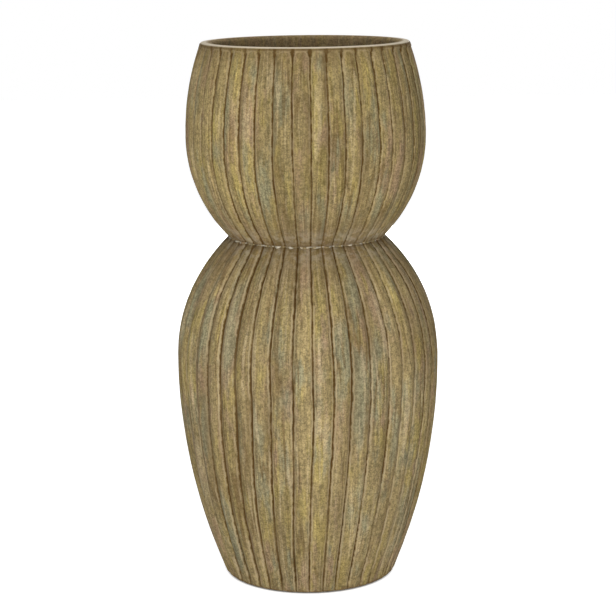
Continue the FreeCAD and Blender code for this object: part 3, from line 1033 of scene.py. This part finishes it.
# How strongly each effect covers the wash
DEEP_CUT_BOOST = 1.4
EDGE_STRENGTH = 0.8
BOWL_EDGE_SHARE = 0.55
SETTLED_AND_SHADE_STRENGTH = 0.22
FLANK_STRENGTH = 0.65
RIM_DARK_STRENGTH = 0.46
WAIST_DARK_STRENGTH = 0.55
FOOT_DARK_STRENGTH = 0.75
SMEAR_STRENGTH = 0.34
CREASE_STRENGTH = 0.5
LIP_LINE_STRENGTH = 0.6
INSIDE_STRENGTH = 0.5
SEAM_UMBER = 0.45

# Roughness from the hollows to the tops of the grain, and what the seam shows of its squeeze
WASHED_ROUGHNESS = (0.98, 0.84)
SEAM_ROUGHNESS = (0.95, 0.8)
ROUGHNESS_SPREAD = 0.06
SQUEEZED_SHOWS = (0.1, 0.5)

# Painted shade: the belly is darker low down, where it faces down: two heights and the tone at the
# lower one
LOW_BELLY_SHADE = (40 * MM, 240 * MM)
LOW_BELLY_SHADE_TONE = 0.91

# The bowl is lighter on its left: two places across and the tone at the outer one
BOWL_LEFT_LIGHTER = (-110 * MM, -20 * MM)
BOWL_LEFT_TONE = 1.17

# Relief of the streaks and of the grain: depth and strength
STREAK_RELIEF = (0.5 * MM, 0.6)
WASHED_RELIEF = (0.8 * MM, 0.9)
PLAIN_RELIEF = (0.4 * MM, 0.7)


def below_rim(tree, height, distances, low=0.0, high=1.0):
    """Goes from low to high between two distances below the rim."""
    start, full = distances
    return remap(tree, height, RIM_HEIGHT - start, RIM_HEIGHT - full, low, high)


def washed_tone(tree, colours, colour, place, height, on_bowl):
    """Broad tones: the bowl's own wash, painted shade low down on the belly, and the bowl lighter
    on its left.
    """
    bowl_colour = toned(tree, colour, (*colours.bowl_tint, 1.0))
    colour = mix_colour(tree, on_bowl, colour, bowl_colour)
    colour = toned(tree, colour, remap(tree, height, *LOW_BELLY_SHADE, LOW_BELLY_SHADE_TONE, 1.0))
    side = axis_value(tree, place, "X")
    lighter_left = toned(tree, colour, remap(tree, side, *BOWL_LEFT_LIGHTER, BOWL_LEFT_TONE, 1.0))
    return mix_colour(tree, on_bowl, colour, lighter_left)


def rubbed_edges(tree, place, gap, cut, on_bowl):
    """Where the wash is rubbed off the edges of the ribs."""
    edge = times(tree, remap(tree, gap, *EDGE_START), remap(tree, gap, *EDGE_END))
    edge = times(tree, times(tree, edge, spread_noise(tree, place, EDGE_BREAKS)), EDGE_STRENGTH)
    bowl_edge = remap(tree, on_bowl, 0.0, 1.0, 1.0, BOWL_EDGE_SHARE)
    return times(tree, edge, times(tree, cut, bowl_edge))


def wash_and_painted_shade(tree, gap, cut, height, from_waist, uneven):
    """Where the umber darkens: dark wash with painted shade beside the grooves, darker towards the
    rim, painted shade at the waist, and painted contact shade with a dark stain at the foot.
    """
    wash_and_shade = times(tree, remap(tree, gap, *SETTLED_AND_SHADE_REACH, 0.0, SETTLED_AND_SHADE_STRENGTH), cut)
    at_foot = plus(tree, height, times(tree, uneven, FOOT_UNEVEN))
    foot_start, foot_full = FOOT_DARK
    for dark in (
            times(tree, mask_value(tree, "flank"), FLANK_STRENGTH),
            below_rim(tree, height, RIM_DARK, 0.0, RIM_DARK_STRENGTH),
            remap(tree, from_waist, *WAIST_DARK, 0.0, WAIST_DARK_STRENGTH),
            remap(tree, at_foot, FOOT_LIFT + foot_start, FOOT_LIFT + foot_full,
                  0.0, FOOT_DARK_STRENGTH)):
        wash_and_shade = stronger_of(tree, wash_and_shade, dark)
    return wash_and_shade


def washed_clay(groups, colours):
    """Carved outside of the shells, under the streaky wash."""
    material, tree, shader = new_tree("washed_clay")
    place = place_vector(tree)
    height = axis_value(tree, place, "Z")
    wash = use_group(tree, groups["wash"], Place=place, Rib=mask_value(tree, "rib"))
    sand = use_group(tree, groups["sand"], Place=place)
    uneven = spread_noise(tree, place, UNEVEN_GROOVES)
    on_bowl = remap(tree, height, JOINT_LOW, JOINT_HIGH + BOWL_BLEND)
    from_waist = math_node(tree, "ABSOLUTE", math_node(tree, "SUBTRACT", height, JOINT_HIGH))
    near_rim = below_rim(tree, height, DEEP_CUTS, 1.0, DEEP_CUT_BOOST)
    cut = math_node(tree, "MULTIPLY", mask_value(tree, "cut"), near_rim, clamp=True)
    gap = times(tree, plus(tree, mask_value(tree, "groove_gap"), uneven),
                remap(tree, on_bowl, 0.0, 1.0, BELLY_GAP, BOWL_GAP))
    colour = toned(tree, wash.outputs["Color"], sand.outputs["Tone"])
    colour = washed_tone(tree, colours, colour, place, height, on_bowl)
    edge = rubbed_edges(tree, place, gap, cut, on_bowl)
    colour = painted(tree, colour, edge, colours.sand)
    wash_and_shade = wash_and_painted_shade(tree, gap, cut, height, from_waist, uneven)
    colour = painted(tree, colour, wash_and_shade, colours.umber)
    smear = times(tree, remap(tree, from_waist, *SMEAR, 0.0, SMEAR_STRENGTH),
                  spread_noise(tree, place, SMEAR_PATCHES))
    colour = painted(tree, colour, smear, colours.slip)
    crease = plus(tree, from_waist, times(tree, uneven, CREASE_UNEVEN))
    lip_line = times(tree, below_rim(tree, height, LIP_LINE_LOW),
                     below_rim(tree, height, LIP_LINE_HIGH))
    # Groove brown lines: painted shade in the crease at the seam, dark wash in the grooves that at
    # the sides lies on their far walls as painted shade, and a painted shadow under the lip
    for line in (remap(tree, crease, *CREASE, 0.0, CREASE_STRENGTH),
                 times(tree, remap(tree, gap, *CORE_REACH), cut),
                 times(tree, lip_line, LIP_LINE_STRENGTH)):
        colour = painted(tree, colour, line, colours.groove_brown)
    # Inside the mouth the wash is lightened with the inside brown: painted light where little light
    # reaches
    inside = painted(tree, wash.outputs["Color"], INSIDE_STRENGTH, colours.inside_lit_brown)
    inside = toned(tree, inside, sand.outputs["Tone"])
    colour = mix_colour(tree, mask_value(tree, "inner"), colour, inside)
    colour = painted(tree, colour, mask_value(tree, "pale"), colours.rim_pale)
    streaks = bump(tree, wash.outputs["Streak"], *STREAK_RELIEF)
    sandy_finish(tree, shader, colour, sand, WASHED_ROUGHNESS, WASHED_RELIEF, streaks)
    shader.inputs["Diffuse Roughness"].default_value = 0.1
    shader.inputs["Specular IOR Level"].default_value = 0.2
    return material


def seam_slip(groups, colours):
    """Slip at the seam: washed over, and pale where it squeezed out and was rubbed."""
    material, tree, shader = new_tree("pale_slip")
    place = place_vector(tree)
    wash = use_group(tree, groups["wash"], Place=place, Rib=mask_value(tree, "rib"))
    sand = use_group(tree, groups["sand"], Place=place)
    squeezed = remap(tree, mask_value(tree, "pale"), *SQUEEZED_SHOWS)
    rubbed = times(tree, spread_noise(tree, place, RUBBED_SLIP), squeezed)
    under = painted(tree, wash.outputs["Color"], SEAM_UMBER, colours.umber)
    colour = toned(tree, painted(tree, under, rubbed, colours.slip), sand.outputs["Tone"])
    sandy_finish(tree, shader, colour, sand, SEAM_ROUGHNESS, PLAIN_RELIEF)
    return material


def plain_clay(name, groups, colour, grain, roughness):
    """Bare or slipped clay with sandy grain and soft blotches."""
    material, tree, shader = new_tree(name)
    place = place_vector(tree)
    sand = use_group(tree, groups["sand"], Place=place, Grain_Scale=grain)
    tone = times(tree, sand.outputs["Tone"], spread_noise(tree, place, BLOTCHES))
    colour = toned(tree, (*colour, 1.0), tone)
    ends = (roughness + ROUGHNESS_SPREAD, roughness - ROUGHNESS_SPREAD)
    sandy_finish(tree, shader, colour, sand, ends, PLAIN_RELIEF)
    return material


def build_materials(colours):
    groups = {"sand": sand_group(), "wash": wash_group(colours)}
    bare = tuple(0.5 * (a + b) for a, b in zip(colours.rose_brown, colours.rim_pale))
    return {
        "washed_clay": washed_clay(groups, colours),
        "seam_slip": seam_slip(groups, colours),
        "pale_slip": plain_clay("dried_slip", groups, colours.slip, grain=700.0, roughness=0.85),
        "bare_clay": plain_clay("bare_clay", groups, bare, grain=520.0, roughness=0.88),
        "sealing_coat": plain_clay(
            "sealing_coat", groups, colours.coat, grain=260.0, roughness=0.5),
        "felt": plain_clay("felt", groups, colours.felt, grain=1500.0, roughness=0.92),
    }


MATERIALS = {}


def material_of(slot):
    if not MATERIALS:
        MATERIALS.update(build_materials(bpy.context.scene.vase_colours))
    return MATERIALS[slot]


def dress_node(node, slot):
    """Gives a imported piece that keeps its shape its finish."""
    piece = frame["nodes"][node]
    piece.data.materials.clear()
    piece.data.materials.append(material_of(slot))


# Operators

class VASE_OT_belly(bpy.types.Operator):
    """Carve the belly, from the foot to the waist"""

    bl_idname = "vase.belly"
    bl_label = "Carved Belly"

    def execute(self, context):
        shape = context.scene.vase_shape
        rows, carved_count = belly_outline(shape)
        mesh = shell_mesh("carved_belly", shape, rows, carved_count, False)
        add_piece("carved_belly", mesh, material_of("washed_clay"), "washed_clay", "belly_shell")
        return {"FINISHED"}


class VASE_OT_bowl(bpy.types.Operator):
    """Carve the bowl, from the waist to the rim"""

    bl_idname = "vase.bowl"
    bl_label = "Carved Bowl"

    def execute(self, context):
        shape = context.scene.vase_shape
        rows, carved_count = bowl_outline(shape)
        mesh = shell_mesh("carved_bowl", shape, rows, carved_count, True)
        add_piece("carved_bowl", mesh, material_of("washed_clay"), "washed_clay", "bowl_shell")
        return {"FINISHED"}


class VASE_OT_seam(bpy.types.Operator):
    """Lay the slip that joins the bowl to the belly"""

    bl_idname = "vase.seam"
    bl_label = "Seam"

    def execute(self, context):
        mesh = seam_mesh("seam_slip", context.scene.vase_shape)
        add_piece("seam_slip", mesh, material_of("seam_slip"), "pale_slip", "waist_joint")
        return {"FINISHED"}


class VASE_OT_fittings(bpy.types.Operator):
    """Finish the slip, the base disc, the sealing coat and the felt pads"""

    bl_idname = "vase.fittings"
    bl_label = "Slip, Base, Coat and Pads"

    def execute(self, context):
        slots = {part["node"]: part["material_slot"] for part in frame["record"]["subparts"]}
        carved = {"belly_shell", "bowl_shell", "waist_joint"}
        for node in frame["nodes"]:
            if node not in carved:
                dress_node(node, slots[node])
        return {"FINISHED"}


# Lamps: name, place, width and height, and the setting with its power
LAMPS = (
    ("key_lamp", (-0.03, -2.4, 0.42), (1.0, 0.7), "key_power"),
    ("top_lamp", (-0.2, -0.5, 1.9), (1.2, 1.2), "top_power"),
    ("back_lamp", (0.4, 2.4, 0.6), (1.2, 1.2), "back_power"),
)
FLOOR_REACH = 6.0
FLOOR_CORNERS = ((-1, -1), (1, -1), (1, 1), (-1, 1))
SENSOR_WIDTH = 36.0
WHITE = (1.0, 1.0, 1.0, 1.0)
PALE_FLOOR = (0.9, 0.9, 0.9, 1.0)

# Distances from the axis where the floor's white starts and is full. It starts at the foot's
# outer edge, so that the foot keeps its contact shadow
GLOW_START = 93 * MM
GLOW_FULL = 97 * MM


def add_lamp(name, place, size, power):
    lamp = bpy.data.lights.new(name, "AREA")
    lamp.shape = "RECTANGLE"
    lamp.size, lamp.size_y = size
    lamp.energy = power
    holder = bpy.data.objects.new(name, lamp)
    holder.location = place
    to_vase = Vector((0.0, 0.0, RIM_HEIGHT / 2.0)) - Vector(place)
    holder.rotation_euler = to_vase.to_track_quat("-Z", "Y").to_euler()
    bpy.context.scene.collection.objects.link(holder)


def seen_value(tree):
    """One for the camera's rays and for what shows in gloss and glass, otherwise nought."""
    rays = tree.nodes.new("ShaderNodeLightPath")
    seen = math_node(tree, "MAXIMUM", rays.outputs["Is Camera Ray"], rays.outputs["Is Glossy Ray"])
    return math_node(tree, "MAXIMUM", seen, rays.outputs["Is Transmission Ray"])


def backdrop_material(glow):
    """Pale floor that shows white to the camera and keeps the vase's shadow."""
    material, tree, shader = new_tree("studio_floor")
    shader.inputs["Base Color"].default_value = PALE_FLOOR
    shader.inputs["Roughness"].default_value = 0.9
    shader.inputs["Emission Color"].default_value = WHITE
    away = tree.nodes.new("ShaderNodeVectorMath")
    away.operation = "LENGTH"
    tree.links.new(place_vector(tree), away.inputs[0])
    clear = remap(tree, away.outputs["Value"], GLOW_START, GLOW_FULL, 0.0, glow)
    set_input(tree, shader, "Emission Strength", times(tree, seen_value(tree), clear))
    return material


def white_world(strength):
    world = bpy.data.worlds.new("studio_surround")
    bpy.context.scene.world = world
    world.use_nodes = True
    tree = world.node_tree
    tree.nodes.clear()
    output = tree.nodes.new("ShaderNodeOutputWorld")
    background = tree.nodes.new("ShaderNodeBackground")
    background.inputs["Color"].default_value = WHITE
    level = remap(tree, seen_value(tree), 0.0, 1.0, strength, 1.0)
    tree.links.new(level, background.inputs["Strength"])
    tree.links.new(background.outputs[0], output.inputs["Surface"])


def add_floor(glow):
    mesh = bpy.data.meshes.new("studio_floor")
    corners = [(x * FLOOR_REACH, y * FLOOR_REACH, 0.0) for x, y in FLOOR_CORNERS]
    mesh.from_pydata(corners, [], [(0, 1, 2, 3)])
    mesh.materials.append(backdrop_material(glow))
    floor = bpy.data.objects.new("studio_floor", mesh)
    bpy.context.scene.collection.objects.link(floor)


def add_camera(studio):
    camera = bpy.data.objects.new("camera", bpy.data.cameras.new("camera"))
    camera.data.sensor_width = SENSOR_WIDTH
    camera.data.lens = studio.lens
    camera.location = (studio.camera_side, -studio.camera_distance, studio.camera_height)
    upright = Euler((math.pi / 2.0 - studio.camera_pitch, 0.0, 0.0)).to_matrix()
    roll = Euler((0.0, 0.0, studio.camera_roll)).to_matrix()
    camera.rotation_euler = (upright @ roll).to_euler()
    bpy.context.scene.collection.objects.link(camera)
    bpy.context.scene.camera = camera


class VASE_OT_studio(bpy.types.Operator):
    """Set the floor, the light and the camera"""

    bl_idname = "vase.studio"
    bl_label = "Studio"

    def execute(self, context):
        studio = context.scene.vase_studio
        add_floor(studio.floor_glow)
        white_world(studio.world_strength)
        for name, place, size, setting in LAMPS:
            add_lamp(name, place, size, getattr(studio, setting))
        add_camera(studio)
        context.scene.view_settings.view_transform = "Standard"
        return {"FINISHED"}


class VASE_PT_panel(bpy.types.Panel):
    """Lists the steps that build the vase"""

    bl_label = "Clay Vase"
    bl_idname = "VASE_PT_panel"
    bl_space_type = "VIEW_3D"
    bl_region_type = "UI"
    bl_category = "Vase"

    def draw(self, context):
        for step in OPERATORS:
            self.layout.operator(step.bl_idname)


SETTINGS = {"vase_shape": VaseShape, "vase_colours": VaseColours, "vase_studio": VaseStudio}
OPERATORS = (VASE_OT_belly, VASE_OT_bowl, VASE_OT_seam, VASE_OT_fittings, VASE_OT_studio)


def register():
    for item in (*SETTINGS.values(), *OPERATORS, VASE_PT_panel):
        bpy.utils.register_class(item)
    for name, group in SETTINGS.items():
        setattr(bpy.types.Scene, name, PointerProperty(type=group))


def unregister():
    for name in SETTINGS:
        delattr(bpy.types.Scene, name)
    for item in reversed((*SETTINGS.values(), *OPERATORS, VASE_PT_panel)):
        bpy.utils.unregister_class(item)


def main():
    register()
    bpy.ops.vase.belly()
    bpy.ops.vase.bowl()
    bpy.ops.vase.seam()
    bpy.ops.vase.fittings()
    bpy.ops.vase.studio()


if __name__ == "__main__":
    main()
